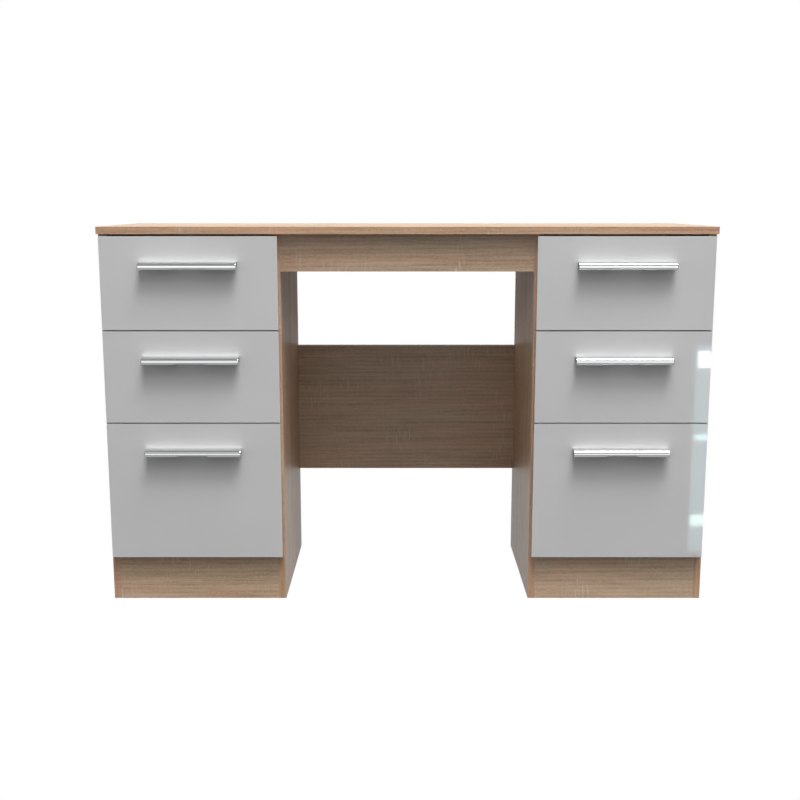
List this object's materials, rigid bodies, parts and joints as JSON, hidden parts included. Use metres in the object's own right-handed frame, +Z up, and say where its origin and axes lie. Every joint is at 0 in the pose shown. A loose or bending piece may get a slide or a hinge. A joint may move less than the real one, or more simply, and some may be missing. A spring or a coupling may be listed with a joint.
{
  "type": "writing desk with drawers",
  "caption": "Kneehole writing desk with drawer pedestals on both sides, oak-effect boards, light-grey gloss fronts, bar handles and a modesty panel.",
  "frame": {"origin": "on the floor, midway along the desk and midway between the faces of the handles and the back edge", "axes": "+X along the desk to the right as seen from the front, +Y to the back, +Z up; the drawers open towards -Y"},
  "size_m": [1.265, 0.415, 0.795],
  "materials": {
    "oak_board": "satin laminate with a fine oak grain",
    "front_gloss": "high gloss light grey",
    "chrome": "bright polished",
    "drawer_board": "matt pale melamine on chipboard",
    "hardboard": "smooth raw hardboard",
    "runner_steel": "off-white powder coat",
    "nylon": "natural nylon",
    "zinc": "bright zinc plate"
  },
  "bodies": {
    "carcass": {"desk_top": "oak_board", "left_outer_side": "oak_board", "left_inner_side": "oak_board", "right_inner_side": "oak_board", "right_outer_side": "oak_board", "left_plinth": "oak_board", "right_plinth": "oak_board", "left_base_board": "oak_board", "right_base_board": "oak_board", "left_back_panel": "hardboard", "right_back_panel": "hardboard", "apron_rail": "oak_board", "modesty_panel": "oak_board", "cabinet_runners": "runner_steel", "runner_screws": "zinc", "cam_discs": "zinc", "cam_bolts": "zinc"},
    "left_top_drawer": {"left_top_front": "front_gloss", "left_top_handle": "chrome", "left_top_box": "drawer_board", "left_top_base": "hardboard", "left_top_runners": "runner_steel"},
    "left_top_drawer_roller_pair": {"left_top_rollers": "nylon"},
    "left_top_cabinet_roller_pair": {"left_top_cabinet_rollers": "nylon"},
    "left_middle_drawer": {"left_middle_front": "front_gloss", "left_middle_handle": "chrome", "left_middle_box": "drawer_board", "left_middle_base": "hardboard", "left_middle_runners": "runner_steel"},
    "left_middle_drawer_roller_pair": {"left_middle_rollers": "nylon"},
    "left_middle_cabinet_roller_pair": {"left_middle_cabinet_rollers": "nylon"},
    "left_bottom_drawer": {"left_bottom_front": "front_gloss", "left_bottom_handle": "chrome", "left_bottom_box": "drawer_board", "left_bottom_base": "hardboard", "left_bottom_runners": "runner_steel"},
    "left_bottom_drawer_roller_pair": {"left_bottom_rollers": "nylon"},
    "left_bottom_cabinet_roller_pair": {"left_bottom_cabinet_rollers": "nylon"},
    "right_top_drawer": {"right_top_front": "front_gloss", "right_top_handle": "chrome", "right_top_box": "drawer_board", "right_top_base": "hardboard", "right_top_runners": "runner_steel"},
    "right_top_drawer_roller_pair": {"right_top_rollers": "nylon"},
    "right_top_cabinet_roller_pair": {"right_top_cabinet_rollers": "nylon"},
    "right_middle_drawer": {"right_middle_front": "front_gloss", "right_middle_handle": "chrome", "right_middle_box": "drawer_board", "right_middle_base": "hardboard", "right_middle_runners": "runner_steel"},
    "right_middle_drawer_roller_pair": {"right_middle_rollers": "nylon"},
    "right_middle_cabinet_roller_pair": {"right_middle_cabinet_rollers": "nylon"},
    "right_bottom_drawer": {"right_bottom_front": "front_gloss", "right_bottom_handle": "chrome", "right_bottom_box": "drawer_board", "right_bottom_base": "hardboard", "right_bottom_runners": "runner_steel"},
    "right_bottom_drawer_roller_pair": {"right_bottom_rollers": "nylon"},
    "right_bottom_cabinet_roller_pair": {"right_bottom_cabinet_rollers": "nylon"}
  },
  "joints": [
    {"name": "left_top_slide", "type": "slide", "parent": "carcass", "child": "left_top_drawer", "axis": [0, -1, 0], "range_m": [0, 0.26]},
    {"name": "left_top_drawer_rollers_turn", "type": "hinge", "parent": "left_top_drawer", "child": "left_top_drawer_roller_pair", "pos_m": [-0.44675, 0.1715, 0.6203], "axis": [1, 0, 0], "range_deg": [0, 1300]},
    {"name": "left_top_cabinet_rollers_turn", "type": "hinge", "parent": "carcass", "child": "left_top_cabinet_roller_pair", "pos_m": [-0.44675, -0.1525, 0.6225], "axis": [1, 0, 0], "range_deg": [0, 1300]},
    {"name": "left_middle_slide", "type": "slide", "parent": "carcass", "child": "left_middle_drawer", "axis": [0, -1, 0], "range_m": [0, 0.26]},
    {"name": "left_middle_drawer_rollers_turn", "type": "hinge", "parent": "left_middle_drawer", "child": "left_middle_drawer_roller_pair", "pos_m": [-0.44675, 0.1715, 0.4263], "axis": [1, 0, 0], "range_deg": [0, 1300]},
    {"name": "left_middle_cabinet_rollers_turn", "type": "hinge", "parent": "carcass", "child": "left_middle_cabinet_roller_pair", "pos_m": [-0.44675, -0.1525, 0.4285], "axis": [1, 0, 0], "range_deg": [0, 1300]},
    {"name": "left_bottom_slide", "type": "slide", "parent": "carcass", "child": "left_bottom_drawer", "axis": [0, -1, 0], "range_m": [0, 0.26]},
    {"name": "left_bottom_drawer_rollers_turn", "type": "hinge", "parent": "left_bottom_drawer", "child": "left_bottom_drawer_roller_pair", "pos_m": [-0.44675, 0.1715, 0.1338], "axis": [1, 0, 0], "range_deg": [0, 1300]},
    {"name": "left_bottom_cabinet_rollers_turn", "type": "hinge", "parent": "carcass", "child": "left_bottom_cabinet_roller_pair", "pos_m": [-0.44675, -0.1525, 0.136], "axis": [1, 0, 0], "range_deg": [0, 1300]},
    {"name": "right_top_slide", "type": "slide", "parent": "carcass", "child": "right_top_drawer", "axis": [0, -1, 0], "range_m": [0, 0.26]},
    {"name": "right_top_drawer_rollers_turn", "type": "hinge", "parent": "right_top_drawer", "child": "right_top_drawer_roller_pair", "pos_m": [0.44675, 0.1715, 0.6203], "axis": [1, 0, 0], "range_deg": [0, 1300]},
    {"name": "right_top_cabinet_rollers_turn", "type": "hinge", "parent": "carcass", "child": "right_top_cabinet_roller_pair", "pos_m": [0.44675, -0.1525, 0.6225], "axis": [1, 0, 0], "range_deg": [0, 1300]},
    {"name": "right_middle_slide", "type": "slide", "parent": "carcass", "child": "right_middle_drawer", "axis": [0, -1, 0], "range_m": [0, 0.26]},
    {"name": "right_middle_drawer_rollers_turn", "type": "hinge", "parent": "right_middle_drawer", "child": "right_middle_drawer_roller_pair", "pos_m": [0.44675, 0.1715, 0.4263], "axis": [1, 0, 0], "range_deg": [0, 1300]},
    {"name": "right_middle_cabinet_rollers_turn", "type": "hinge", "parent": "carcass", "child": "right_middle_cabinet_roller_pair", "pos_m": [0.44675, -0.1525, 0.4285], "axis": [1, 0, 0], "range_deg": [0, 1300]},
    {"name": "right_bottom_slide", "type": "slide", "parent": "carcass", "child": "right_bottom_drawer", "axis": [0, -1, 0], "range_m": [0, 0.26]},
    {"name": "right_bottom_drawer_rollers_turn", "type": "hinge", "parent": "right_bottom_drawer", "child": "right_bottom_drawer_roller_pair", "pos_m": [0.44675, 0.1715, 0.1338], "axis": [1, 0, 0], "range_deg": [0, 1300]},
    {"name": "right_bottom_cabinet_rollers_turn", "type": "hinge", "parent": "carcass", "child": "right_bottom_cabinet_roller_pair", "pos_m": [0.44675, -0.1525, 0.136], "axis": [1, 0, 0], "range_deg": [0, 1300]}
  ],
  "couplings": [
    {"joint": "left_top_drawer_rollers_turn", "follows": "left_top_slide", "rad_per_m": 86.957},
    {"joint": "left_top_cabinet_rollers_turn", "follows": "left_top_slide", "rad_per_m": 86.957},
    {"joint": "left_middle_drawer_rollers_turn", "follows": "left_middle_slide", "rad_per_m": 86.957},
    {"joint": "left_middle_cabinet_rollers_turn", "follows": "left_middle_slide", "rad_per_m": 86.957},
    {"joint": "left_bottom_drawer_rollers_turn", "follows": "left_bottom_slide", "rad_per_m": 86.957},
    {"joint": "left_bottom_cabinet_rollers_turn", "follows": "left_bottom_slide", "rad_per_m": 86.957},
    {"joint": "right_top_drawer_rollers_turn", "follows": "right_top_slide", "rad_per_m": 86.957},
    {"joint": "right_top_cabinet_rollers_turn", "follows": "right_top_slide", "rad_per_m": 86.957},
    {"joint": "right_middle_drawer_rollers_turn", "follows": "right_middle_slide", "rad_per_m": 86.957},
    {"joint": "right_middle_cabinet_rollers_turn", "follows": "right_middle_slide", "rad_per_m": 86.957},
    {"joint": "right_bottom_drawer_rollers_turn", "follows": "right_bottom_slide", "rad_per_m": 86.957},
    {"joint": "right_bottom_cabinet_rollers_turn", "follows": "right_bottom_slide", "rad_per_m": 86.957}
  ]
}
